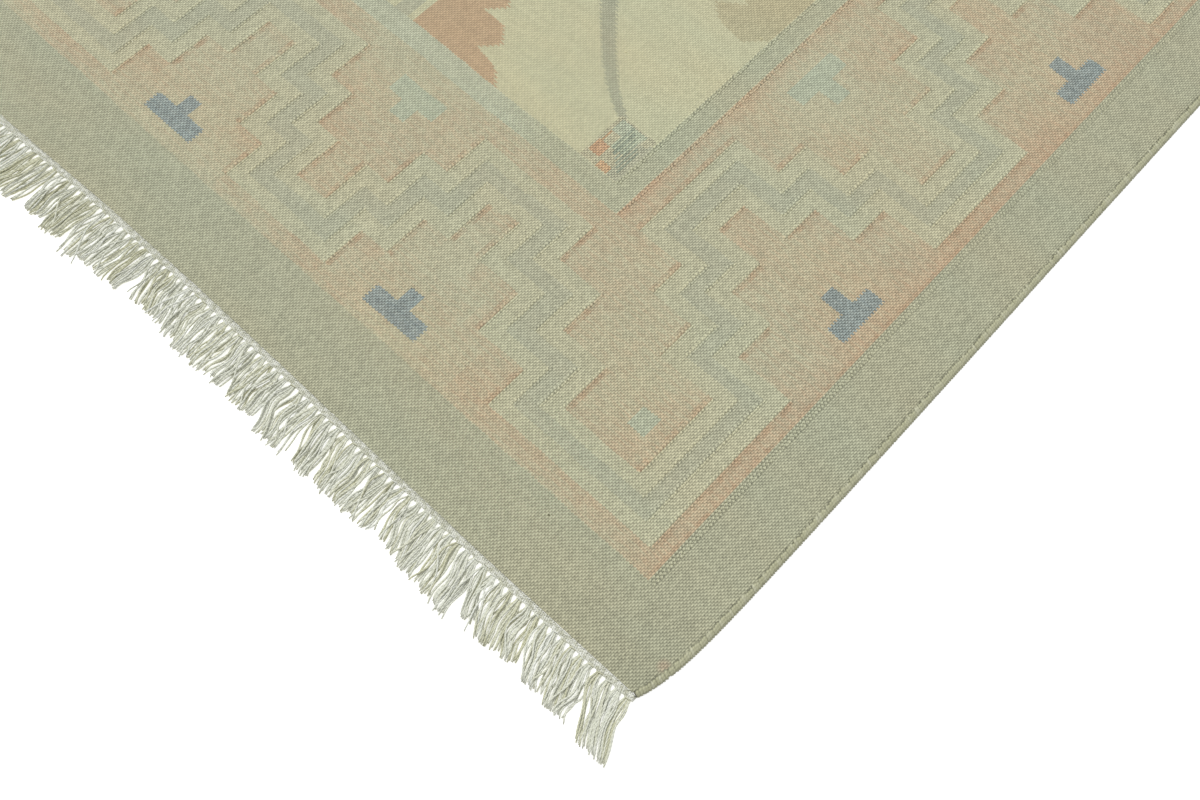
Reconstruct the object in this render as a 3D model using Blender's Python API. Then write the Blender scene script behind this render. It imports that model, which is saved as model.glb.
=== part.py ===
"""A flat-woven kilim rug with overcast long sides and knotted fringes, lying flat on the floor.

The rug lies in the XY plane with its length along Y. The origin is the middle of its underside.
The near end is at -Y. The far end is the near end turned half a turn about Z.
"""
import math

import bmesh
import bpy
import numpy as np
from mathutils import Matrix

# The cloth with its selvedges, in metres.
WIDTH = 1.712
LENGTH = 2.645
CLOTH_THICKNESS = 0.003
CLEARANCE = 0.0003

# The weaving is drawn in at each corner, and the drawing-in fades along the side.
CORNER_PULL = 0.017
CORNER_FADE = 0.041
SIDE_WAVE = 0.0008
SIDE_WAVE_LENGTH = 0.9

# The overcast edge cord.
SELVEDGE_WIDTH = 0.007
SELVEDGE_HEIGHT = 0.0042

# Its cross-section: share of the width from the cloth outwards, share of the height.
SELVEDGE_SECTION = [
    (0.00, 0.00),
    (0.88, 0.00),
    (1.00, 0.40),
    (0.78, 0.90),
    (0.40, 1.00),
    (0.00, 0.72),
]

# The twined strip across each end, and the locks knotted below it.
STRIP_WIDTH = 0.007
STRIP_HEIGHT = 0.0028
KNOTS = 140
ROOT_WIDTH = 0.0070

# How far the near end's edge bows out from the nominal line: x, bow.
END_BOW = [
    (-0.839, -0.0015),
    (-0.700, 0.0000),
    (-0.500, 0.0030),
    (-0.300, 0.0065),
    (-0.131, 0.0058),
    (-0.031, 0.0018),
    (0.039, -0.0008),
    (0.189, -0.0028),
    (0.339, -0.0025),
    (0.639, 0.0000),
    (0.839, -0.0015),
]

# A lock's cross-sections from root to tip: share of its reach, share of its lean, width, height.
LOCK_SECTIONS = [
    (0.12, 0.05, 0.0064, 0.0026),
    (0.55, 0.50, 0.0084, 0.0024),
    (1.00, 1.00, 0.0060, 0.0020),
]

# Bunches of locks along the near end from the right corner leftwards: knots in the bunch, how far
# its tips lean to the right, how far they reach from the strip, share of the spread drawn together.
BUNCHES = [
    (4, 0.026, 0.064, 0.20),
    (3, 0.017, 0.061, 0.30),
    (3, 0.019, 0.057, 0.30),
    (2, 0.015, 0.053, 0.25),
    (3, 0.016, 0.059, 0.35),
    (2, 0.020, 0.051, 0.30),
    (2, 0.014, 0.067, 0.35),
    (2, 0.008, 0.062, 0.30),
    (3, 0.010, 0.060, 0.33),
    (2, 0.013, 0.055, 0.30),
    (2, 0.002, 0.057, 0.30),
    (2, 0.000, 0.060, 0.30),
    (4, 0.010, 0.060, 0.33),
    (3, 0.015, 0.062, 0.33),
    (4, 0.005, 0.063, 0.33),
    (4, 0.003, 0.058, 0.10),
    (2, 0.000, 0.057, 0.30),
    (3, 0.001, 0.058, 0.25),
    (2, 0.002, 0.060, 0.35),
    (3, 0.007, 0.055, 0.25),
    (4, 0.013, 0.051, 0.20),
    (2, -0.002, 0.057, 0.35),
    (4, -0.003, 0.057, 0.20),
    (2, 0.002, 0.066, 0.33),
    (3, -0.002, 0.060, 0.33),
    (3, 0.000, 0.056, 0.30),
    (2, -0.008, 0.060, 0.30),
    (4, -0.006, 0.064, 0.33),
    (4, 0.006, 0.062, 0.33),
    (3, 0.014, 0.060, 0.30),
]


def corner_pull(y):
    """How far the side is drawn in at y."""
    from_end = LENGTH / 2 - abs(y)
    return CORNER_PULL * math.exp(-max(from_end, 0.0) / CORNER_FADE)


def right_side(y):
    """The right selvedge's outer face at y."""
    wave = SIDE_WAVE * (1 - math.cos(2 * math.pi * y / SIDE_WAVE_LENGTH)) / 2
    return WIDTH / 2 - corner_pull(y) - wave


def near_end(x):
    """The near edge of the cloth at x."""
    xs, bows = zip(*END_BOW)
    return -LENGTH / 2 - float(np.interp(x, xs, bows))


def side_stations():
    """Places along the right side, close together where the corners curve, near to far."""
    first = near_end(right_side(-LENGTH / 2))
    last = -near_end(-right_side(LENGTH / 2))
    from_corner = [0.0, 0.010, 0.022, 0.038, 0.060, 0.090, 0.130, 0.190]
    middle = np.linspace(first + 0.30, last - 0.30, 17)
    return [first + d for d in from_corner] + list(middle) + [last - d for d in reversed(from_corner)]


def end_stations(half_width, count=28):
    """Places along the near end, left to right."""
    return list(np.linspace(-half_width, half_width, count))


def cloth_material(name, colour):
    """A dull woven finish."""
    material = bpy.data.materials.new(name)
    material.use_nodes = True
    shader = material.node_tree.nodes["Principled BSDF"]
    shader.inputs["Base Color"].default_value = (*colour, 1.0)
    shader.inputs["Roughness"].default_value = 0.9
    shader.inputs["Metallic"].default_value = 0.0
    return material


def add_object(name, bm, material):
    """Turns a finished bmesh into a named object."""
    bmesh.ops.recalc_face_normals(bm, faces=bm.faces)
    mesh = bpy.data.meshes.new(name)
    bm.to_mesh(mesh)
    bm.free()
    mesh.materials.append(material)
    thing = bpy.data.objects.new(name, mesh)
    bpy.context.collection.objects.link(thing)
    return thing


def raise_outline(bm, outline, height):
    """Extrudes a flat outline on the floor up to a slab, and returns its wall faces in order."""
    corners = [bm.verts.new((x, y, 0.0)) for x, y in outline]
    base = bm.faces.new(corners)
    lifted = bmesh.ops.extrude_face_region(bm, geom=[base])["geom"]
    top_corners = [part for part in lifted if isinstance(part, bmesh.types.BMVert)]
    bmesh.ops.translate(bm, verts=top_corners, vec=(0.0, 0.0, height))
    walls = []
    for corner, following in zip(corners, corners[1:] + corners[:1]):
        edge = bm.edges.get((corner, following))
        walls.append(next(face for face in edge.link_faces if len(face.verts) == 4))
    return walls


def turned(points):
    """The same points half a turn about Z."""
    return [(-x, -y) for x, y in points]


def make_cloth(material):
    """The woven panel between the selvedges, with its slightly uneven outline."""
    inset = SELVEDGE_WIDTH + CLEARANCE
    right = [(right_side(y) - inset, y) for y in side_stations()]
    corner = right[0][0]
    near = [(x, near_end(x)) for x in end_stations(corner)][1:-1]
    outline = near + right + turned(near) + turned(right)
    bm = bmesh.new()
    raise_outline(bm, outline, CLOTH_THICKNESS)
    return add_object("rug_cloth", bm, material)


def selvedge_ring(y):
    """The edge cord's cross-section at y, as corners in order."""
    inner = right_side(y) - SELVEDGE_WIDTH
    return [(inner + u * SELVEDGE_WIDTH, y, v * SELVEDGE_HEIGHT) for u, v in SELVEDGE_SECTION]


def make_selvedge(name, material):
    """The overcast cord along the right side: a low rounded section extruded from end to end."""
    near_ring, *rings = [selvedge_ring(y) for y in side_stations()]
    bm = bmesh.new()
    near_cap = bm.faces.new([bm.verts.new(place) for place in near_ring])
    extruded = bmesh.ops.extrude_face_region(bm, geom=[near_cap])["geom"]
    cap = next(part for part in extruded if isinstance(part, bmesh.types.BMFace))
    for number, ring in enumerate(rings):
        if number > 0:
            cap = bmesh.ops.extrude_discrete_faces(bm, faces=[cap])["faces"][0]
        for vert, place in zip(cap.verts, ring):
            vert.co = place
    return add_object(name, bm, material)


def lock_plan():
    """Each lock's root x, lean and reach, from the right corner leftwards."""
    half_width = right_side(-LENGTH / 2)
    pitch = 2 * half_width / KNOTS
    plan = []
    row = 0
    while len(plan) < KNOTS:
        knots, lean, reach, gather = BUNCHES[row % len(BUNCHES)]
        for i in range(knots):
            if len(plan) == KNOTS:
                break
            from_middle = (i - (knots - 1) / 2) * pitch
            root = half_width - pitch * (len(plan) + 0.5)
            uneven = 0.0025 * math.sin(2.4 * len(plan))
            plan.append((root, lean + gather * from_middle, reach + uneven))
        row += 1
    return plan


def grow_lock(bm, root_face, root_x, lean, reach):
    """Extrudes a four-sided lock from its root face on the strip's outer wall."""
    face = root_face
    start_y = face.calc_center_median().y
    for share, lean_share, width, height in LOCK_SECTIONS:
        face = bmesh.ops.extrude_discrete_faces(bm, faces=[face])["faces"][0]
        middle = face.calc_center_median()
        for vert in face.verts:
            side = math.copysign(0.5, vert.co.x - middle.x)
            level = height if vert.co.z > middle.z else 0.0
            vert.co = (root_x + lean * lean_share + side * width, start_y - reach * share, level)


def make_fringe(name, material):
    """The near end's twined strip, with its locks grown from the outer wall."""
    half_width = right_side(-LENGTH / 2)
    plan = list(reversed(lock_plan()))
    inner = [(x, near_end(x) - CLEARANCE) for x in end_stations(half_width)]
    outer_x = [-half_width]
    for root, _, _ in plan:
        outer_x += [root - ROOT_WIDTH / 2, root + ROOT_WIDTH / 2]
    outer_x.append(half_width)
    outer = [(x, near_end(x) - CLEARANCE - STRIP_WIDTH) for x in outer_x]
    bm = bmesh.new()
    walls = raise_outline(bm, outer + list(reversed(inner)), STRIP_HEIGHT)
    for i, (root, lean, reach) in enumerate(plan):
        grow_lock(bm, walls[1 + 2 * i], root, lean, reach)
    return add_object(name, bm, material)


def half_turn(thing):
    """Turns a finished piece half a turn about Z, in its mesh."""
    thing.data.transform(Matrix.Rotation(math.pi, 4, "Z"))


def main():
    for thing in list(bpy.data.objects):
        bpy.data.objects.remove(thing, do_unlink=True)
    wool = cloth_material("sage_wool", (0.40, 0.42, 0.31))
    overcast = cloth_material("overcast_wool", (0.46, 0.48, 0.36))
    cotton = cloth_material("white_cotton", (0.70, 0.71, 0.65))
    make_cloth(wool)
    make_selvedge("selvedge_right", overcast)
    half_turn(make_selvedge("selvedge_left", overcast))
    make_fringe("fringe_near", cotton)
    half_turn(make_fringe("fringe_far", cotton))


main()
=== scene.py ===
"""A flat-woven kilim rug, dressed: tapestry cloth, overcast edges, twined ends, knotted fringes.

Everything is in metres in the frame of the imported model: the underside lies on the floor, the
length and the warps run along Y, and the origin is the rug's middle. The near end is at -Y.
"""

import itertools
import math
import random

import bpy
import numpy as np
from mathutils import Matrix, Vector


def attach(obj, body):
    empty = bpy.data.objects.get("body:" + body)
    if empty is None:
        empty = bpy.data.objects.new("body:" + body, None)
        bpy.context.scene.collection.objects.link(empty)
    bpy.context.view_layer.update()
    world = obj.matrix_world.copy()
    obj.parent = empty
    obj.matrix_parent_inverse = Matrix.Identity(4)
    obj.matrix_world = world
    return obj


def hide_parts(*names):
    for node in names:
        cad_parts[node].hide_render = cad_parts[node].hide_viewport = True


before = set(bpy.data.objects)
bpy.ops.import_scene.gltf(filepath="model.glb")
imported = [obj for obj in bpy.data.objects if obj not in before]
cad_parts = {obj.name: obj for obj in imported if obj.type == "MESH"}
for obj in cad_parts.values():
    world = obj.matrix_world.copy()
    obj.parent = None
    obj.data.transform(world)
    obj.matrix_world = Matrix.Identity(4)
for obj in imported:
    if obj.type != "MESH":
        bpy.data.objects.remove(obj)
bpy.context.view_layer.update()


# The camera stands over the near right corner and looks down along the rug. It fills the picture
# with that corner, as the photograph does.
CAMERA_PLACE = (0.9713, -1.5436, 1.30)
CAMERA_TURN = (23.513, -0.808, 42.929)
CAMERA_LENS = 40.3

bpy.ops.object.camera_add(location=CAMERA_PLACE, rotation=[math.radians(a) for a in CAMERA_TURN])
camera = bpy.context.object
camera.data.lens = CAMERA_LENS
bpy.context.scene.camera = camera


# The studio: an even white floor that is itself faintly lit, a white surround, and one broad soft
# lamp from the rug's left, low enough for the ribs and yarns to throw small shadows.
FLOOR_SIZE = 30.0
FLOOR_WHITE = (0.93, 0.93, 0.93, 1.0)
FLOOR_GLOW = 0.55
SURROUND_STRENGTH = 0.62
LAMP_FROM = (-0.80, 0.30, 0.85)
LAMP_STRENGTH = 2.1
LAMP_SPREAD = 24.0

bpy.ops.mesh.primitive_plane_add(size=FLOOR_SIZE, location=(0, 0, 0))
floor = bpy.context.object
floor.name = "studio_floor"
floor_finish = bpy.data.materials.new("white_floor")
floor_finish.use_nodes = True
floor_shader = floor_finish.node_tree.nodes["Principled BSDF"]
for label, value in (
    ("Base Color", FLOOR_WHITE), ("Roughness", 0.9), ("Specular IOR Level", 0.1),
    ("Emission Color", FLOOR_WHITE), ("Emission Strength", FLOOR_GLOW),
):
    floor_shader.inputs[label].default_value = value
floor.data.materials.append(floor_finish)

surround = bpy.data.worlds.new("white_surround")
surround.use_nodes = True
sky = surround.node_tree.nodes["Background"]
sky.inputs["Color"].default_value = (1.0, 1.0, 1.0, 1.0)
sky.inputs["Strength"].default_value = SURROUND_STRENGTH
bpy.context.scene.world = surround
bpy.context.scene.view_settings.view_transform = "Standard"

bpy.ops.object.light_add(type="SUN", location=(-2.0, 1.0, 3.0))
lamp = bpy.context.object
lamp.rotation_euler = Vector(LAMP_FROM).to_track_quat("Z", "Y").to_euler()
lamp.data.energy = LAMP_STRENGTH
lamp.data.angle = math.radians(LAMP_SPREAD)


# The cloth: weft-faced tapestry, wool wefts packed over white cotton warps, 3 mm thick. Its ends
# bow a little and its corners are drawn in, as the weaving left them. It lies flat on the floor,
# with its sides tucked just under the overcasting.
WIDTH = 1.712
LENGTH = 2.645
CLEARANCE = 0.0003
CORNER_PULL = 0.017
CORNER_FADE = 0.041
SIDE_WAVE = 0.0008
SIDE_WAVE_LENGTH = 0.9
SELVEDGE_WIDTH = 0.007
END_BOW = [
    (-0.839, -0.0015),
    (-0.700, 0.0000),
    (-0.500, 0.0030),
    (-0.300, 0.0065),
    (-0.131, 0.0058),
    (-0.031, 0.0018),
    (0.039, -0.0008),
    (0.189, -0.0028),
    (0.339, -0.0025),
    (0.639, 0.0000),
    (0.839, -0.0015),
]
SIDE_TUCK = 0.0002
CLOTH_FACE = 0.0028
CLOTH_THICKNESS = 0.0024
CLOTH_COLUMNS = 64
CLOTH_ROWS = 190
RIPPLE = 0.0003


def right_side(y):
    """The right selvedge's outer face at y."""
    pull = CORNER_PULL * math.exp(-max(LENGTH / 2 - abs(y), 0.0) / CORNER_FADE)
    wave = SIDE_WAVE * (1 - math.cos(2 * math.pi * y / SIDE_WAVE_LENGTH)) / 2
    return WIDTH / 2 - pull - wave


def near_end(x):
    """The near edge of the cloth at x."""
    xs, bows = zip(*END_BOW)
    return -LENGTH / 2 - float(np.interp(x, xs, bows))


def face_height(x, y):
    """The cloth's upper face, which rises and falls a little where it isn't quite flat."""
    long_wave = math.sin(9.0 * x + 4.0 * y + 0.7) + math.sin(11.0 * y - 5.0 * x)
    return CLOTH_FACE + RIPPLE * long_wave / 2


bpy.ops.object.select_all(action="DESELECT")
bpy.ops.mesh.primitive_grid_add(x_subdivisions=CLOTH_COLUMNS, y_subdivisions=CLOTH_ROWS, size=2)
cloth = bpy.context.object
cloth.name = "kilim_cloth"
for vert in cloth.data.vertices:
    across, along = vert.co.x, vert.co.y
    x_guess = across * WIDTH / 2
    y = along * (-near_end(-x_guess) if along > 0 else -near_end(x_guess))
    edge = right_side(y) - SELVEDGE_WIDTH + SIDE_TUCK
    vert.co = (across * edge, y, face_height(across * edge, y))
thicken = cloth.modifiers.new("thickness", "SOLIDIFY")
thicken.thickness = CLOTH_THICKNESS
thicken.offset = -1
bpy.ops.object.modifier_apply(modifier=thicken.name)
bpy.ops.object.shade_smooth_by_angle(angle=math.radians(40))

# The weaver's chart. Small T figures stand in both borders, and four outlines step round them:
# each outline has its steps' distances from a T's middle and its distance in from the edge after
# each step. Edges that run along the warps fall on whole warps.
T_SPACING_END = 0.369
T_SPACING_SIDE = 0.427
WARP = T_SPACING_END / 156
PICK = 0.0025
HALF_WIDE = 0.839
HALF_LONG = 1.320
LAST_T_END = T_SPACING_END
LAST_T_SIDE = 2 * T_SPACING_SIDE
OUTLINES_END = [
    ((0.0240, 0.0620, 0.1015), (0.293, 0.229, 0.172, 0.116)),
    ((0.0450, 0.0830, 0.1210), (0.312, 0.249, 0.193, 0.134)),
    ((0.0660, 0.1040, 0.1410), (0.332, 0.270, 0.213, 0.153)),
    ((0.0875, 0.1245, 0.1605), (0.351, 0.290, 0.234, 0.171)),
]
OUTLINES_CORNER = [
    ((0.0200, 0.0800, 0.1480), (0.298, 0.233, 0.173, 0.1175)),
    ((0.0410, 0.1020, 0.1690), (0.316, 0.254, 0.193, 0.1350)),
    ((0.0620, 0.1250, 0.1890), (0.334, 0.2745, 0.2135, 0.153)),
    ((0.0830, 0.1470, 0.2100), (0.352, 0.295, 0.234, 0.170)),
]
OUTLINES_SIDE = [
    ((0.0215, 0.0720, 0.1260), (0.284, 0.221, 0.164, 0.0920)),
    ((0.0420, 0.0910, 0.1450), (0.305, 0.242, 0.185, 0.1125)),
    ((0.0620, 0.1110, 0.1630), (0.327, 0.263, 0.205, 0.1320)),
    ((0.0820, 0.1300, 0.1820), (0.348, 0.284, 0.226, 0.1520)),
]
EDGE_BAND_SIDE = 0.071
EDGE_BAND_END = 0.092
RIM = 0.007
BAND_RIM = 0.004
GUARD_SIDE = 0.380
GUARD_END = 0.382
FIELD_SIDE = 0.4075
FIELD_END = 0.411
FLOWER_TIP = 0.262
STEM_END = 1.130

# How far from a T's middle each table of outlines is looked up.
END_REACH = 0.20
CORNER_REACH = 0.25
SIDE_REACH = 0.22


def dyed(red, green, blue):
    """A yarn's linear colour from its tone on a screen, from 0 to 255, in the studio's light."""
    parts = [c / 255 for c in (red, green, blue)]
    return tuple(c / 12.92 if c < 0.04 else ((c + 0.055) / 1.055) ** 2.4 for c in parts)


SAGE = dyed(171, 171, 145)
PEACH_RED = dyed(185, 159, 130)
PEACH_TAN = dyed(183, 179, 150)
PEACH_RIM = dyed(174, 147, 118)
STRIPE_LIGHT = dyed(183, 181, 152)
STRIPE_TEAL = dyed(174, 174, 149)
GUARD_GREY = dyed(174, 175, 148)
GUARD_AQUA = dyed(180, 183, 158)
FIELD_CREAM = dyed(191, 189, 156)
T_BLUE = dyed(131, 143, 141)
T_BLUE_PALE = dyed(154, 162, 155)
T_AQUA = dyed(174, 180, 156)
CORAL = dyed(183, 160, 129)
STEM_GREY = dyed(167, 167, 142)
LEAF_TAUPE = dyed(180, 174, 141)
ORANGE = dyed(188, 156, 124)
ORANGE_PALE = dyed(190, 161, 126)
BLOCK_SLATE = dyed(148, 156, 136)
BLOCK_GREEN = dyed(176, 182, 156)
STAIN = dyed(176, 160, 136)
STAIN_PLACE = (0.8376, -1.2816, CLOTH_FACE)
SPECK = dyed(118, 116, 90)
SPECK_PLACE = (0.6493, -1.2467, CLOTH_FACE)


def on_warp(place):
    """The nearest whole warp, counted from the rug's middle."""
    return round(place / WARP) * WARP


def side_on_warp(inset):
    """A distance in from the nominal side, moved to the nearest whole warp."""
    return HALF_WIDE - on_warp(HALF_WIDE - inset)


class Wire:
    """A number that a node's socket gives. Sums of wires make Math nodes.

    A comparison gives a mask, 1 where it holds. The product of masks is 1 where they all are.
    """

    def __init__(self, tree, socket):
        self.tree = tree
        self.socket = socket

    def __add__(self, other):
        return calc(self.tree, "ADD", self, other)

    def __sub__(self, other):
        return calc(self.tree, "SUBTRACT", self, other)

    def __rsub__(self, other):
        return calc(self.tree, "SUBTRACT", other, self)

    def __mul__(self, other):
        return calc(self.tree, "MULTIPLY", self, other)

    def __truediv__(self, other):
        return calc(self.tree, "DIVIDE", self, other)

    def __gt__(self, other):
        return calc(self.tree, "GREATER_THAN", self, other)

    def __lt__(self, other):
        return calc(self.tree, "LESS_THAN", self, other)

    def __abs__(self):
        return calc(self.tree, "ABSOLUTE", self)


def add(tree, kind, inputs=None, **settings):
    """A node in the tree with its settings, its inputs linked or set by name or number."""
    made = tree.nodes.new(kind)
    for name, value in settings.items():
        setattr(made, name, value)
    for name, value in (inputs or {}).items():
        if isinstance(value, Wire):
            value = value.socket
        if isinstance(value, bpy.types.NodeSocket):
            tree.links.new(value, made.inputs[name])
        else:
            made.inputs[name].default_value = value
    return made


def calc(tree, operation, *values):
    """The result of a Math node."""
    node = add(tree, "ShaderNodeMath", dict(enumerate(values)), operation=operation)
    return Wire(tree, node.outputs[0])


def vector(tree, operation, first, second=(0.0, 0.0, 0.0)):
    """The result of a Vector Math node."""
    return add(tree, "ShaderNodeVectorMath", {0: first, 1: second}, operation=operation).outputs[0]


def scaled(tree, colour, tone):
    """A colour made lighter or darker."""
    return add(tree, "ShaderNodeVectorMath", {0: colour, 3: tone}, operation="SCALE").outputs[0]


def from_point(tree, place, point):
    """How far each place is from a point."""
    node = add(tree, "ShaderNodeVectorMath", {0: place, 1: point}, operation="DISTANCE")
    return Wire(tree, node.outputs["Value"])


def split(tree, point):
    """A vector's three parts."""
    return [Wire(tree, part) for part in add(tree, "ShaderNodeSeparateXYZ", {0: point}).outputs]


def pair(x, y):
    """Two values as one vector."""
    return add(x.tree, "ShaderNodeCombineXYZ", {0: x, 1: y}).outputs[0]


def blend(tree, factor, first, second, way="MIX"):
    """The result of a colour mix."""
    colours = [c if isinstance(c, bpy.types.NodeSocket) else (*c, 1.0) for c in (first, second)]
    inputs = {0: factor, 6: colours[0], 7: colours[1]}
    return add(tree, "ShaderNodeMix", inputs, data_type="RGBA", blend_type=way).outputs[2]


def choose(mask, first, second):
    """The first value, or the second one where the mask is 1."""
    node = add(mask.tree, "ShaderNodeMix", {0: mask, 2: first, 3: second})
    return Wire(mask.tree, node.outputs[0])


def any_of(*masks):
    """A mask, as strong as the strongest of these."""
    whole = masks[0]
    for mask in masks[1:]:
        whole = calc(mask.tree, "MAXIMUM", whole, mask)
    return whole


def noise(tree, place, scale, stretch=(1.0, 1.0, 1.0), detail=2.0):
    """Soft noise from 0 to 1, its grain stretched along the rug's axes."""
    inputs = {"Vector": vector(tree, "MULTIPLY", place, stretch), "Scale": scale, "Detail": detail}
    return Wire(tree, add(tree, "ShaderNodeTexNoise", inputs).outputs["Fac"])


def spread(value, low, high, to_low=0.0, to_high=1.0):
    """The value with its range moved, and held inside the new range."""
    inputs = {"Value": value, "From Min": low, "From Max": high, "To Min": to_low, "To Max": to_high}
    return Wire(value.tree, add(value.tree, "ShaderNodeMapRange", inputs).outputs[0])


def new_group(name, sockets_in, sockets_out):
    """A node group with named sockets: its tree, what comes in and what goes out."""
    tree = bpy.data.node_groups.new(name, "ShaderNodeTree")
    for way, sockets in (("INPUT", sockets_in), ("OUTPUT", sockets_out)):
        for label, kind in sockets:
            tree.interface.new_socket(label, in_out=way, socket_type="NodeSocket" + kind)
    return tree, tree.nodes.new("NodeGroupInput").outputs, tree.nodes.new("NodeGroupOutput").inputs


def set_stops(ramp, stops):
    """Gives a colour ramp its stops, in order: each one's position and colour."""
    for number, (position, colour) in enumerate(stops):
        stop = ramp.elements[number] if number < 2 else ramp.elements.new(1.0)
        stop.position = position
        stop.color = colour


def levels_along(distance, outlines, reach):
    """The four outlines' distances from the edge, looked up by distance from a T's middle."""
    tree = distance.tree
    lookup = add(tree, "ShaderNodeValToRGB", {0: distance / reach})
    lookup.color_ramp.interpolation = "CONSTANT"
    stops = []
    for step in sorted({0.0}.union(*[near for near, _ in outlines])):
        levels = [far[sum(step >= s for s in near)] for near, far in outlines]
        stops.append((step / reach, levels))
    set_stops(lookup.color_ramp, stops)
    parts = add(tree, "ShaderNodeSeparateColor", {0: lookup.outputs["Color"]})
    return [Wire(tree, level) for level in (*parts.outputs, lookup.outputs["Alpha"])]


def profile(value, points, reach):
    """A distance looked up along a smooth outline of points: at this value, this far."""
    lookup = add(value.tree, "ShaderNodeValToRGB", {0: value / reach})
    set_stops(lookup.color_ramp, [(at / reach, (far, far, far, 1.0)) for at, far in points])
    return Wire(value.tree, lookup.outputs["Color"])


def patch(tree, point, middle, half, shape="block"):
    """A mask, 1 inside a block or a diamond of that half size."""
    inputs = {"Vector": point, "Location": (*middle, 0.0), "Scale": (*half, 1.0)}
    local = add(tree, "ShaderNodeMapping", inputs, vector_type="TEXTURE").outputs[0]
    across, along, _ = split(tree, vector(tree, "ABSOLUTE", local))
    return calc(tree, "MAXIMUM" if shape == "block" else "ADD", across, along) < 1.0


def petals(first, step, out, shoulder, count):
    """A half flower's outline: each petal's notch, tip and shoulder, as depth and half width."""
    points = []
    for n in range(count):
        deep, wide = first[0] + n * step[0], first[1] + n * step[1]
        points += [(deep, wide), (deep + out[0], wide + out[1])]
        points += [(deep + shoulder[0], wide + shoulder[1]), (deep + step[0] - 0.001, wide + 0.002)]
    return points


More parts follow.
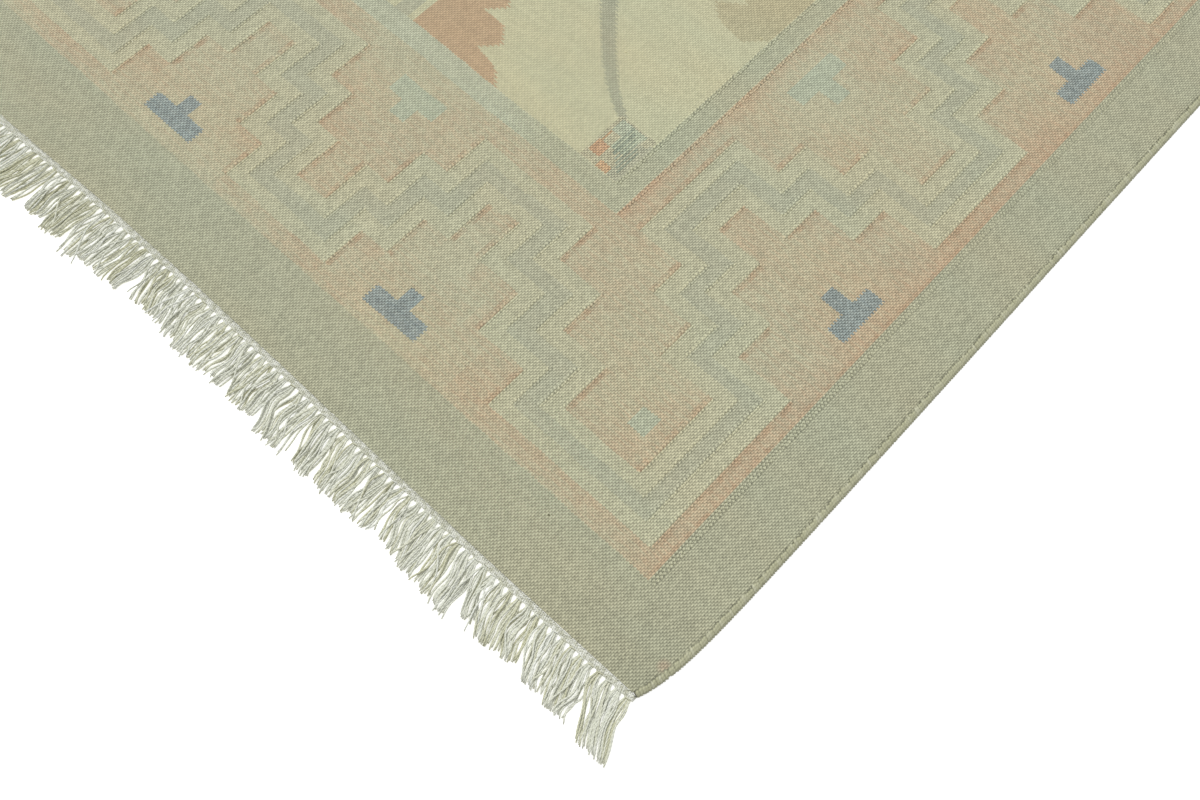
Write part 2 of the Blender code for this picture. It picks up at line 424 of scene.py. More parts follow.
def make_chart():
    """The node group that gives the yarn's colour at each place of the cloth."""
    tree, source, result = new_group(
        "kilim_chart", [("Place", "Vector")], [("Colour", "Color"), ("Relief", "Float")])
    place = source["Place"]
    x, y, _ = split(tree, place)

    def tooth(distance, step, size):
        """Plus and minus the size by turns, step by step."""
        return calc(tree, "SIGN", calc(tree, "SINE", distance * (math.pi / step))) * size

    # Each weft row beats down a little unevenly, and its edge shows a tooth on every second warp.
    uneven = spread(noise(tree, place, 9.0), 0.0, 1.0, -0.0030, 0.0030)
    uneven += spread(noise(tree, place, 70.0), 0.0, 1.0, -0.0016, 0.0016)
    x_now = (calc(tree, "FLOOR", abs(x) / WARP) + 0.5) * WARP
    y_now = abs(y + uneven + tooth(x, WARP, 0.0005))
    in_x = HALF_WIDE - x_now
    in_y = HALF_LONG - y_now

    # How far it is to the middle of the nearest T, along the end and along the side.
    past_end = x_now > LAST_T_END
    past_side = y_now > LAST_T_SIDE
    to_t_end = choose(past_end, calc(tree, "PINGPONG", x_now, T_SPACING_END / 2), x_now - LAST_T_END)
    to_t_side = choose(
        past_side, calc(tree, "PINGPONG", y_now, T_SPACING_SIDE / 2), y_now - LAST_T_SIDE)

    # The four outlines between them make two pale stripes with a grey one in the middle.
    end_levels = levels_along(to_t_end, ends_on_warp, END_REACH)
    corner_levels = levels_along(to_t_end, corner_on_warp, CORNER_REACH)
    side_levels = levels_along(to_t_side, sides_on_warp, SIDE_REACH)

    def within(end, corner, side):
        """A mask, 1 further in than these levels."""
        return (in_y > choose(past_end, end, corner)) * (in_x > side)

    inside = [within(*levels) for levels in zip(end_levels, corner_levels, side_levels)]

    # Beside the joins the peach is a redder yarn for two or three warps, outside the stripes and
    # inside. It comes and goes along the join.
    def within_moved(number, shift):
        """A mask, 1 inside one outline whose joins have moved out by a shift."""
        moved = to_t_end + shift
        return within(
            levels_along(moved, ends_on_warp, END_REACH)[number],
            levels_along(moved, corner_on_warp, CORNER_REACH)[number],
            side_levels[number] - shift)

    off_band = in_x - EDGE_BAND_SIDE
    outer_rim = any_of(within_moved(0, RIM), off_band < BAND_RIM)
    inner_rim = 1.0 - within_moved(3, -RIM)
    rim_luck = spread(noise(tree, place, 90.0), 0.35, 0.65, 0.0, 0.60)

    # The two peaches are mingled pick by pick, reddest by the edge bands and palest by the field.
    by_pick = spread(noise(tree, place, 330.0, (0.2, 1.0, 1.0)), 0.3, 0.7, -0.24, 0.24)
    mingled = by_pick + spread(noise(tree, place, 7.0), 0.3, 0.7, -0.22, 0.22)

    def mingle(redness, rim):
        """The mingled peaches, with the redder yarn in the rim."""
        peach = blend(tree, mingled + redness, PEACH_TAN, PEACH_RED)
        return blend(tree, rim * rim_luck, peach, PEACH_RIM)

    redness = spread(off_band, 0.0, 0.06, 0.36, 0.10)
    redness += spread(in_y - EDGE_BAND_END, 0.0, 0.05, -0.02, 0.0)
    redness += spread(end_levels[0] - in_y, 0.0, 0.030, 0.24, 0.0)
    colour = mingle(redness, outer_rim)
    by_guard = spread(in_x, GUARD_SIDE - 0.022, GUARD_SIDE - 0.004, 0.0, 0.40)
    by_guard *= in_y > GUARD_END
    by_guard *= spread(in_x, GUARD_SIDE, GUARD_SIDE + 0.002, 1.0, 0.0)
    redness = spread(in_y - end_levels[3], 0.0, 0.030, 0.34, 0.16) + by_guard
    inner_peach = mingle(redness, inner_rim)
    for mask, yarn in zip(inside, (STRIPE_LIGHT, STRIPE_TEAL, STRIPE_LIGHT, inner_peach)):
        colour = blend(tree, mask, colour, yarn)

    # The T figures, each a bar with a stem, and the small square inside the corner. Where their
    # sides run along the warps, every second row of beads turns one warp further out.
    pick_tooth = tooth(y, PICK, WARP / 2)
    corner_point = pair(in_x, in_y)
    blue = any_of(
        patch(tree, pair(to_t_end + pick_tooth, in_y), (0.0, 0.1260), (0.0390, 0.0120)),
        patch(tree, pair(to_t_end, in_y), (0.0, 0.1490), (0.0100, 0.0110)),
        patch(tree, pair(in_x + pick_tooth, to_t_side), (0.1045, 0.0), (0.0115, 0.0350)),
        patch(tree, pair(in_x, to_t_side), (0.1310, 0.0), (0.0150, 0.0100)),
    )
    from_end = pair(to_t_end - T_SPACING_END / 2, in_y)
    aqua_end = any_of(
        patch(tree, from_end, (0.0, 0.3385), (0.0360, 0.0135)),
        patch(tree, from_end, (0.0, 0.3140), (0.0115, 0.0110)),
    )
    from_side = pair(in_x, to_t_side - T_SPACING_SIDE / 2)
    aqua_side = any_of(
        patch(tree, from_side, (0.3340, 0.0), (0.0140, 0.0410)),
        patch(tree, from_side, (0.3065, 0.0), (0.0135, 0.0120)),
    )
    square = patch(tree, corner_point, (0.1885, 0.2155), (0.0115, 0.0135))
    aqua = any_of(aqua_end * (1.0 - past_end), aqua_side * (1.0 - past_side), square)
    dipped = blend(tree, by_pick * 1.4 + 0.5, T_BLUE, T_BLUE_PALE)
    colour = blend(tree, blue, colour, dipped)
    colour = blend(tree, aqua, colour, T_AQUA)

    # The guard band and the plain edge band.
    in_guard = (in_x > GUARD_SIDE) * (in_y > GUARD_END)
    in_field = (in_x > FIELD_SIDE) * (in_y > FIELD_END)
    off_edge = (in_x > EDGE_BAND_SIDE) * (in_y > EDGE_BAND_END)
    guard_luck = noise(tree, place, 5.0, detail=1.0) + spread(in_x, 0.44, 0.62, -0.12, 0.14)
    guard_share = spread(guard_luck, 0.42, 0.58) * (in_y < FIELD_END)
    colour = blend(tree, in_guard, colour, blend(tree, guard_share, GUARD_GREY, GUARD_AQUA))
    colour = blend(tree, off_edge, SAGE, colour)

    # The field: half flowers on its guard lines, a stem from each corner, a bloom in the middle, and
    # a small striped block. The flowers' outlines give how far they reach at each depth.
    depth_end = in_y - FIELD_END
    depth_side = in_x - FIELD_SIDE
    long_tooth = pick_tooth * 1.7
    end_flower = [(0.0, 0.239), (0.017, 0.223), (0.024, 0.200)]
    end_flower += petals((0.025, 0.182), (0.0465, -0.033), (0.0225, 0.020), (0.040, 0.006), 3)
    end_flower += [(0.168, 0.088), (0.190, 0.084), (FLOWER_TIP, 0.0)]
    coral = (x_now - long_tooth < profile(depth_end, end_flower, 0.3)) * (depth_end < FLOWER_TIP)
    flower_end = pair(x_now, depth_end)
    heart = any_of(
        patch(tree, flower_end, (0.0, 0.03), (0.099, 0.050)),
        patch(tree, flower_end, (0.0, 0.09), (0.080, 0.070), "diamond"),
    )
    heart_stripe = patch(tree, flower_end, (0.079, 0.02), (0.010, 0.045))

    from_t = abs(y_now - T_SPACING_SIDE)
    side_flower = [
        (0.0, 0.240), (0.040, 0.222), (0.055, 0.175), (0.078, 0.196), (0.084, 0.172), (0.096, 0.136),
        (0.121, 0.157), (0.127, 0.134), (0.140, 0.098), (0.165, 0.119), (0.171, 0.095), (0.186, 0.056),
        (0.2085, 0.087), (0.2185, 0.079), (0.2270, 0.066), (0.2309, 0.046), (0.2335, 0.026), (0.2345, 0.0),
    ]
    depth_toothed = depth_side + long_tooth
    taupe = depth_toothed < profile(from_t, side_flower, 0.25)
    taupe *= depth_toothed > (from_t - 0.2065) * 0.94
    core = patch(tree, pair(depth_side, from_t), (0.035, 0.0), (0.060, 0.095), "diamond")

    stem_path = [
        (0.478, 0.458), (0.500, 0.494), (0.515, 0.513), (0.555, 0.5533), (0.600, 0.5945),
        (0.660, 0.637), (0.740, 0.673), (0.850, 0.699), (0.980, 0.710), (1.150, 0.712),
    ]
    off_path = abs(in_x + long_tooth - profile(in_y, stem_path, 1.2))
    stem = off_path < spread(in_y, 0.47, 0.60, 0.0105, 0.0140)
    stem *= (in_y > stem_path[0][0]) * (in_y < STEM_END)

    from_middle = pair(x_now, y_now)
    bloom = any_of(
        patch(tree, from_middle, (0.0, 0.0), (0.150, 0.200), "diamond"),
        patch(tree, from_middle, (0.110, 0.150), (0.045, 0.060), "diamond"),
        patch(tree, from_middle, (0.0, 0.0), (0.105, 0.105)),
    )
    bloom_heart = patch(tree, from_middle, (0.0, 0.0), (0.070, 0.095), "diamond")
    block = patch(tree, corner_point, (0.4385, 0.4470), (0.0265, 0.0355))
    field = FIELD_CREAM
    for mask, yarn in (
        (coral, CORAL), (heart, FIELD_CREAM), (heart_stripe, STRIPE_TEAL), (taupe, LEAF_TAUPE),
        (core, PEACH_RED), (stem, STEM_GREY), (bloom, CORAL), (bloom_heart, T_AQUA),
        (block, PEACH_TAN),
    ):
        field = blend(tree, mask, field, yarn)
    slate_bars = [(0.4420 - 0.0050 * n, 0.4600 - 0.0040 * n) for n in range(6)]
    for middle, half, yarn in [
        ((0.4555, 0.4325), (0.0085, 0.0095), ORANGE),
        ((0.4590, 0.4540), (0.0014, 0.0140), ORANGE_PALE),
        ((0.4310, 0.4175), (0.0110, 0.0050), ORANGE_PALE),
        ((0.4345, 0.4620), (0.0110, 0.0180), BLOCK_GREEN),
        ((0.4165, 0.4430), (0.0075, 0.0310), STRIPE_TEAL),
        ((0.4185, 0.4720), (0.0050, 0.0045), PEACH_TAN),
        ((0.4525, 0.4700), (0.0075, 0.0100), T_AQUA),
    ] + [(middle, (0.0013, 0.0180), BLOCK_SLATE) for middle in slate_bars]:
        field = blend(tree, patch(tree, corner_point, middle, half), field, yarn)
    colour = blend(tree, in_field, colour, field)

    # The dye lots vary a little, and the rug is a shade darker by its corners.
    dye = spread(noise(tree, place, 6.0, (0.6, 1.8, 1.0), 3.0), 0.35, 0.65)
    warmth = blend(tree, dye, (1.022, 0.996, 0.978), (0.980, 1.004, 1.014))
    colour = blend(tree, 1.0, colour, warmth, "MULTIPLY")
    from_corner = from_point(tree, corner_point, (0.0, 0.0, 0.0))
    colour = scaled(tree, colour, spread(from_corner, 0.03, 0.14, 0.94, 1.0))

    # A pinkish stain and a dark speck by the near right corner.
    for spot, near, far, strength, tint in (
        (STAIN_PLACE, 0.003, 0.009, 0.75, STAIN),
        (SPECK_PLACE, 0.0009, 0.0017, 1.0, SPECK),
    ):
        there = spread(from_point(tree, place, spot), near, far, strength, 0.0)
        colour = blend(tree, there, colour, tint)

    # The weave stands out less in the field, and more in the blue figures and the block: in its bump
    # and in the painted shade and light of its tone alike.
    relief = in_field * (any_of(coral, taupe, stem) * 0.20 - 0.36) + blue * 0.40 + block * 0.75 + 1.0
    tree.links.new(colour, result["Colour"])
    tree.links.new(relief.socket, result["Relief"])
    return tree


def snapped(outlines, snap_steps, snap_levels):
    """A table of outlines with its steps or its levels moved to whole warps."""
    return [(tuple(map(snap_steps, near)), tuple(map(snap_levels, far))) for near, far in outlines]


ends_on_warp = snapped(OUTLINES_END, on_warp, float)
corner_on_warp = snapped(OUTLINES_CORNER, on_warp, float)
sides_on_warp = snapped(OUTLINES_SIDE, float, side_on_warp)


def make_weave():
    """The node group for weft-faced plain weave: its relief and its tone, bead by bead.
    The tone is partly painted shade and light, darker between the beads and lighter on them.

    The beads of one warp stand between those of the next. They join up more in one slanting
    direction than in the other, because the yarn is spun one way.
    """
    tree, source, result = new_group(
        "weft_faced_weave",
        [("Place", "Vector"), ("Warp", "Float"), ("Pick", "Float"), ("Relief", "Float")],
        [("Height", "Float"), ("Tone_With_Painted_Shade", "Float")],
    )
    place = source["Place"]
    drift = add(tree, "ShaderNodeTexNoise", {"Vector": place, "Scale": 45.0, "Detail": 2.0})
    shift = vector(tree, "SUBTRACT", drift.outputs["Color"], (0.5, 0.5, 0.5))
    shift = vector(tree, "MULTIPLY", shift, (0.0014, 0.0034, 0.0))
    x, y, _ = split(tree, vector(tree, "ADD", place, shift))
    warps = x / source["Warp"]
    picks = y / source["Pick"]
    across = (warps - 0.5) * math.pi
    along = picks * math.pi
    column = calc(tree, "FLOOR", warps)
    row = calc(tree, "FLOOR", (picks + column + 1.0) * 0.5)
    luck = add(tree, "ShaderNodeTexWhiteNoise", {"Vector": pair(column, row)}, noise_dimensions="2D")
    beads = spread(Wire(tree, luck.outputs[0]), 0.0, 1.0, -0.11, 0.11)
    beads += spread(noise(tree, place, 650.0, (1.0, 0.7, 1.0)), 0.25, 0.75, -0.13, 0.13)
    # These waves shape the beads' relief, and also paint their shade and light into the tone.
    for turn, start, size in (
        (across - along, 0.0, 0.170),
        (across + along, 0.0, 0.115),
        (across * 2.0, -0.7, 0.200),
        (along * 2.0, 2.4, 0.080),
    ):
        beads += calc(tree, "COSINE", turn + start) * size
    beads *= source["Relief"]
    height = beads * 2.0 + noise(tree, place, 900.0, (1.0, 1.6, 1.0)) * 0.25
    streak = noise(tree, place, 40.0, (0.25, 6.0, 1.0), 3.0)
    # Painted shade and light: the tone is darker in the gaps between the beads and lighter on their tops.
    tone = (beads + 0.95) * spread(streak, 0.25, 0.75, 0.95, 1.05)
    tree.links.new(height.socket, result["Height"])
    tree.links.new(tone.socket, result["Tone_With_Painted_Shade"])
    return tree


def new_finish(name, roughness, sheen):
    """A dull fabric material, its node tree, its shader and its object coordinates."""
    finish = bpy.data.materials.new(name)
    finish.use_nodes = True
    shader = finish.node_tree.nodes["Principled BSDF"]
    for label, value in (
        ("Roughness", roughness), ("Specular IOR Level", 0.25),
        ("Sheen Weight", sheen), ("Sheen Roughness", 0.5),
    ):
        shader.inputs[label].default_value = value
    place = add(finish.node_tree, "ShaderNodeTexCoord").outputs["Object"]
    return finish, finish.node_tree, shader, place


def finish_surface(tree, shader, colour, height, distance, strength):
    """Feeds a colour to the shader and a height to its normal."""
    inputs = {"Strength": strength, "Distance": distance, "Height": height}
    relief = add(tree, "ShaderNodeBump", inputs)
    tree.links.new(colour, shader.inputs["Base Color"])
    tree.links.new(relief.outputs["Normal"], shader.inputs["Normal"])


chart = make_chart()
weave = make_weave()
wool, tree, shader, place = new_finish("kilim_wool", 0.88, 0.12)
yarn = add(tree, "ShaderNodeGroup", {"Place": place}, node_tree=chart).outputs
inputs = {"Place": place, "Relief": yarn["Relief"], "Warp": WARP, "Pick": PICK}
cells = add(tree, "ShaderNodeGroup", inputs, node_tree=weave).outputs
toned = scaled(tree, yarn["Colour"], cells["Tone_With_Painted_Shade"])
finish_surface(tree, shader, toned, cells["Height"], 0.0010, 0.45)
cloth.data.materials.append(wool)
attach(cloth, "root")
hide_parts("rug_cloth")


# The joins: where two colours meet along a warp, their wefts lock round each other. The locked
# turns stand up as columns of slanting beads, painted lighter than their yarn as a highlight, with
# dark slivers of painted shade in the pits between them: two columns beside most joins and three
# in the sage, where they shrink away from the end.
STITCH_STEP = 2 * PICK
STITCH = (0.0020, 0.0014, 0.0007)
STITCH_SLANT = 32.0
STITCH_LIFT = 0.0001
SAGE_SHRINKS_FROM = (0.30, 0.60)
SAGE_SHRINKS_TO = (1.0, 0.72)
# The pits' dark slivers are painted shade in the hollows between the stitches.
SHADE_PIT = (0.0011, 0.00085, 0.0003)
WIDE_SHADE_PIT = (0.0014, 0.0011, 0.0003)

# Each kind of join: its columns, their pitch, where the first one stands in pitches, how far its
# beads stray sideways, its pits of painted shade and the chance of each.
JOIN_KINDS = {
    "stripe": (2, 0.0029, -0.5, 0.0003, SHADE_PIT, 0.50),
    "guard": (2, 0.0029, 0.3, 0.0009, WIDE_SHADE_PIT, 0.50),
    "sage": (3, 0.0032, 0.5, 0.0003, WIDE_SHADE_PIT, 0.85),
}


def new_piece(name, points, faces):
    """A smooth piece made from its points and faces."""
    mesh = bpy.data.meshes.new(name)
    mesh.from_pydata(points.reshape(-1, 3).tolist(), [], faces)
    mesh.shade_smooth()
    thing = bpy.data.objects.new(name, mesh)
    bpy.context.collection.objects.link(thing)
    return thing


def joined_copies(name, corners, faces, frames):
    """One mesh of many copies of a small shape, each placed by a matrix of its own."""
    corners = np.array(corners)
    frames = np.array(frames)
    points = np.einsum("nij,vj->nvi", frames[:, :3, :3], corners) + frames[:, None, :3, 3]
    shifts = np.arange(len(frames)) * len(corners)
    loops = [tuple(np.array(face) + shift) for shift in shifts for face in faces]
    return new_piece(name, points, loops)


def bead_frame(place, turn, size):
    """A matrix that puts a unit bead at a place, turned about Z and scaled."""
    turned = Matrix.Rotation(turn, 4, "Z") @ Matrix.Diagonal((*size, 1.0))
    return np.array(Matrix.Translation(place) @ turned)


def join_lines():
    """Every join along a warp in one quarter: distance from the middle, from and to inset."""
    lines = []
    tops = [LAST_T_SIDE - T_SPACING_SIDE * n for n in range(3)]
    for number in range(4):
        near, far = ends_on_warp[number]
        for step, low, high in zip(near, far[1:], far):
            lines += [(step, low, high), (LAST_T_END - step, low, high)]
        near, far = corner_on_warp[number]
        for step, low, high in zip(near, far[1:], far):
            lines.append((LAST_T_END + step, low, high))
        near, far = sides_on_warp[number]
        first = corner_on_warp[number][1][3]
        lines.append((HALF_WIDE - far[3], first, HALF_LONG - LAST_T_SIDE - near[2]))
        for top in tops:
            middle = HALF_LONG - top
            for i in range(3):
                inner = near[i - 1] if i > 0 else 0.0
                x = HALF_WIDE - far[i]
                lines.append((x, middle - near[i], middle - inner))
                if top > 0:
                    lines.append((x, middle + inner, middle + near[i]))
            if top > 0:
                gap_end = middle + T_SPACING_SIDE - near[2]
                lines.append((HALF_WIDE - far[3], middle + near[2], gap_end))
    return lines


rng = random.Random(7)
stitches = {-1: [], 1: []}
pits = {-1: [], 1: []}
sage_line = on_warp(HALF_WIDE - EDGE_BAND_SIDE)
guard_lines = (on_warp(HALF_WIDE - GUARD_SIDE), on_warp(HALF_WIDE - FIELD_SIDE))
all_lines = join_lines() + [(sage_line, EDGE_BAND_END, HALF_LONG)]
all_lines += list(zip(guard_lines, (GUARD_END, FIELD_END), (HALF_LONG, HALF_LONG)))
for middle, low, high in all_lines:
    kind = "sage" if middle == sage_line else "guard" if middle in guard_lines else "stripe"
    columns, pitch, first, stray, pit, shade_pit_chance = JOIN_KINDS[kind]
    step = (high - low) / max(1, round((high - low) / STITCH_STEP))
    for quarter_x, quarter_y in itertools.product((-1, 1), (-1, 1)):
        outwards = 1 if kind == "stripe" else quarter_x
        for number in range(columns):
            column = quarter_x * middle + outwards * (number + first) * pitch
            for inset in np.arange(low + step * (0.25 + 0.5 * (number % 2)), high, step):
                x = column + rng.uniform(-stray, stray)
                y = quarter_y * (HALF_LONG - inset) + rng.uniform(-0.0004, 0.0004)
                size = rng.uniform(0.85, 1.1)
                if kind == "sage":
                    size *= float(np.interp(inset, SAGE_SHRINKS_FROM, SAGE_SHRINKS_TO))
                turn = math.radians(90 + STITCH_SLANT + rng.uniform(-10, 10))
                spot = (x, y, face_height(x, y) + STITCH_LIFT)
                stitches[quarter_y].append(bead_frame(spot, turn, [s * size for s in STITCH]))
                # Painted shade: a dark sliver in the pit half a step beyond this stitch.
                if rng.random() < shade_pit_chance:
                    y -= quarter_y * step / 2
                    spot = (x, y, face_height(x, y))
                    pits[quarter_y].append(bead_frame(spot, turn, [s * size for s in pit]))

# A stitch is a small rounded bead; a pit, painted shade, a plain pointed one. Both are long in X.
BEAD_CORNERS = [
    (-1, 0, 0), (-0.45, 0, 1), (-0.45, 1, 0), (-0.45, 0, -1), (-0.45, -1, 0),
    (0.45, 0, 1), (0.45, 1, 0), (0.45, 0, -1), (0.45, -1, 0), (1, 0, 0),
]
BEAD_FACES = [(0, 1 + i, 1 + (i + 1) % 4) for i in range(4)]
BEAD_FACES += [(1 + i, 5 + i, 5 + (i + 1) % 4, 1 + (i + 1) % 4) for i in range(4)]
BEAD_FACES += [(5 + i, 9, 5 + (i + 1) % 4) for i in range(4)]
SHADE_PIT_CORNERS = [(-1, 0, 0), (0, 0, 1), (0, 1, 0), (0, 0, -1), (0, -1, 0), (1, 0, 0)]
SHADE_PIT_FACES = [(0, 1 + i, 1 + (i + 1) % 4) for i in range(4)]
SHADE_PIT_FACES += [(1 + i, 5, 1 + (i + 1) % 4) for i in range(4)]
joins = []
for name, corners, faces, frames in (
    ("joins", BEAD_CORNERS, BEAD_FACES, stitches),
    ("join_shade_pits", SHADE_PIT_CORNERS, SHADE_PIT_FACES, pits),
):
    for half, word in ((-1, "near"), (1, "far")):
        joins.append(joined_copies(name + "_" + word, corners, faces, frames[half]))


def patterned_wool(name, low, high):
    """Wool in the chart's colour at each place, its tone between low and high."""
    finish, tree, shader, place = new_finish(name, 0.88, 0.12)
    yarn = add(tree, "ShaderNodeGroup", {"Place": place}, node_tree=chart).outputs
    fuzz = noise(tree, place, 700.0)
    toned = scaled(tree, yarn["Colour"], spread(fuzz, 0.2, 0.8, low, high))
    finish_surface(tree, shader, toned, fuzz, 0.0004, 0.6)
    return finish


# Painted highlight: the stitches are lighter than their yarn. Painted shade: the pits are darker.
join_highlight_wool = patterned_wool("join_highlight_wool", 1.10, 1.44)
pit_shade_wool = patterned_wool("pit_shade_wool", 0.50, 0.86)
for thing, finish in zip(joins, (join_highlight_wool, join_highlight_wool, pit_shade_wool, pit_shade_wool)):
    thing.data.materials.append(finish)
    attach(thing, "root")

# Neps: small knots of undyed fibre, spun into the yarn, which stand out pale on the face.
NEP_COUNT = 420
NEP = (0.0014, 0.0006, 0.0006)
NEP_LIFT = 0.0002
LARGE_NEP_CHANCE = 0.12
LARGE_NEP = 1.7
nep_frames = []
for _ in range(NEP_COUNT):
    x = rng.uniform(-0.82, 0.82)
    y = rng.uniform(-1.30, 1.30)
    size = rng.uniform(0.5, 1.0) * (LARGE_NEP if rng.random() < LARGE_NEP_CHANCE else 1.0)
    turn = math.radians(rng.gauss(0.0, 50.0))
    spot = (x, y, face_height(x, y) + NEP_LIFT)
    nep_frames.append(bead_frame(spot, turn, [s * size for s in NEP]))
neps = joined_copies("undyed_neps", BEAD_CORNERS, BEAD_FACES, nep_frames)
neps.data.materials.append(patterned_wool("nep_wool", 1.35, 1.75))
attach(neps, "root")
joins.append(neps)


# The selvedges: a cord of bundled warps along each long side, overcast with the sage wool in close
# slanting turns that wrap it from the cloth's face round to the floor.
SELVEDGE_HEIGHT = 0.0042
WRAP_STEP = 0.0031
WRAP_SLANT = 0.0042
WRAP_ACROSS = 0.0022
WRAP_THICK = 0.0007
CORD_HALF_WIDTH = 0.0031
CORD_FLATNESS = 0.58
CORD_MIDDLE = 0.0019

# A turn's path over the cord: share of the width from the cloth outwards, share of the height.
WRAP_PATH = [(-0.10, 0.66), (0.12, 0.84), (0.42, 0.93), (0.72, 0.84), (0.90, 0.50), (0.98, 0.17)]
MISSING_TURN = -1.2862
YARN_PLIES = 3.0


def tube_mesh(name, paths, widths, heights, sides, tones=None):
    """One mesh of many tubes. Each has a path, and a half width and a half height at each point.

    The cross-sections stand square to the path, level with the floor. The UV map runs along each
    tube in metres and once round it.
    """
    points = np.array(paths)
    widths = np.array(widths)[..., None, None]
    heights = np.array(heights)[..., None, None]
    count, rings = points.shape[:2]
    ahead = np.gradient(points, axis=1)
    ahead /= np.linalg.norm(ahead, axis=2, keepdims=True)
    level = np.cross(ahead, (0.0, 0.0, 1.0))
    level /= np.linalg.norm(level, axis=2, keepdims=True) + 1e-9
    up = np.cross(level, ahead)
    angle = np.arange(sides) * 2 * math.pi / sides
    ring = level[:, :, None] * np.cos(angle)[:, None] * widths
    ring = ring + up[:, :, None] * np.sin(angle)[:, None] * heights
    corners = points[:, :, None] + ring
    number = np.arange(count * rings * sides).reshape(count, rings, sides)
    turned = np.roll(number, -1, axis=2)
    quads = np.stack([number[:, :-1], turned[:, :-1], turned[:, 1:], number[:, 1:]], axis=-1)
    faces = quads.reshape(-1, 4).tolist()
    faces += number[:, 0, ::-1].tolist() + number[:, -1].tolist()
    thing = new_piece(name, corners, faces)
    mesh = thing.data
    step = np.linalg.norm(np.diff(points, axis=1), axis=2)
    length = np.concatenate([np.zeros((count, 1)), np.cumsum(step, axis=1)], axis=1)
    lengths = np.repeat(length.reshape(-1), sides)
    rounds = np.tile(np.arange(sides) / sides, count * rings)
    loop_vert = np.zeros(len(mesh.loops), dtype=np.int64)
    mesh.loops.foreach_get("vertex_index", loop_vert)
    uv = np.stack([lengths[loop_vert], rounds[loop_vert]], axis=1)
    mesh.uv_layers.new(name="yarn").data.foreach_set("uv", uv.reshape(-1))
    if tones is None:
        tones = np.random.default_rng(11).random(count)
    tone = mesh.attributes.new("tone", "FLOAT", "POINT")
    tone.data.foreach_set("value", np.repeat(tones, rings * sides).astype(np.float32))
    return thing


def make_yarn():
    """The node group for plied yarn: ridges that wind round it, and its loose hairs."""
    tree, source, result = new_group(
        "plied_yarn",
        [("Along", "Float"), ("Around", "Float"), ("Turn", "Float"), ("Place", "Vector")],
        [("Height", "Float"), ("Tone_With_Painted_Shade", "Float")],
    )
    wound = Wire(tree, source["Along"]) / source["Turn"] + Wire(tree, source["Around"]) * YARN_PLIES
    ply = calc(tree, "SINE", wound * (2 * math.pi))
    hairs = noise(tree, source["Place"], 1200.0)
    height = ply * 0.3 + hairs
    # Painted shade: the tone is darker in the grooves between the plies and lighter on their ridges.
    tone = spread(ply, -1.0, 1.0, 0.88, 1.06) * spread(hairs, 0.25, 0.75, 0.94, 1.06)
    tree.links.new(height.socket, result["Height"])
    tree.links.new(tone.socket, result["Tone_With_Painted_Shade"])
    return tree


def yarn_finish(name, tones, turn, roughness, foot, top, start=1.0):
    """A material of plied yarn, its colour picked among some tones from one yarn to the next.

    Low down it is darker and warmer, as painted shade: foot is its tone by the floor, which fades
    out at the height top. Start is its tone where each yarn begins, painted shade where it comes out
    of the cloth, which fades out in 2 mm.
    """
    finish, tree, shader, place = new_finish(name, roughness, 0.10)
    along, around, _ = split(tree, add(tree, "ShaderNodeUVMap", {}, uv_map="yarn").outputs[0])
    inputs = {"Along": along, "Around": around, "Turn": turn, "Place": place}
    plied = add(tree, "ShaderNodeGroup", inputs, node_tree=yarn_group).outputs
    own = Wire(tree, add(tree, "ShaderNodeAttribute", {}, attribute_name="tone").outputs["Fac"])
    lookup = add(tree, "ShaderNodeValToRGB", {0: own})
    set_stops(lookup.color_ramp, [(n / (len(tones) - 1), (*tone, 1.0)) for n, tone in enumerate(tones)])
    # Painted shade: the yarn grows darker and warmer towards the floor.
    _, _, level = split(tree, place)
    shade = [foot * c for c in (1.03, 1.0, 0.88)]
    shade = blend(tree, spread(level, 0.0004, top), shade, (1.0, 1.0, 1.0))
    mixed = blend(tree, 1.0, lookup.outputs["Color"], shade, "MULTIPLY")
    # Painted shade where each turn comes out of the cloth, deeper on yarns of low own tone.
    start_shade = any_of(spread(along, 0.0005, 0.0022), spread(own, 0.0, 1.0, start, 1.0))
    toned = scaled(tree, mixed, start_shade * plied["Tone_With_Painted_Shade"])
    finish_surface(tree, shader, toned, plied["Height"], 0.0005, 0.7)
    return finish


yarn_group = make_yarn()
OVERCAST_TONES = [dyed(171, 171, 141), dyed(180, 180, 150), dyed(176, 176, 147), dyed(187, 187, 161)]
# Painted shade on the overcasting: down to 0.36 by the floor, and 0.40 where each turn leaves the cloth.
overcast_wool = yarn_finish("overcast_wool", OVERCAST_TONES, 0.004, 0.85, 0.36, 0.0034, 0.40)


def selvedge_turns():
    """The paths of the right edge's turns of yarn, near to far."""
    first = near_end(right_side(-LENGTH / 2)) + 0.001
    last = -near_end(-right_side(LENGTH / 2)) - 0.003
    paths = []
    for i in range(int((last - first) / WRAP_STEP)):
        start = first + i * WRAP_STEP + rng.uniform(-0.0004, 0.0004)
        slant = WRAP_SLANT * rng.uniform(0.8, 1.2)
        if abs(start - MISSING_TURN) < WRAP_STEP / 2:
            continue
        path = []
        begin = rng.uniform(-0.10, 0.14)
        for u, v in WRAP_PATH:
            u += begin * (0.98 - u)
            y = start + slant * (1 - u)
            x = right_side(y) - SELVEDGE_WIDTH + u * SELVEDGE_WIDTH
            path.append((x, y, v * SELVEDGE_HEIGHT))
        paths.append(path)
    return paths


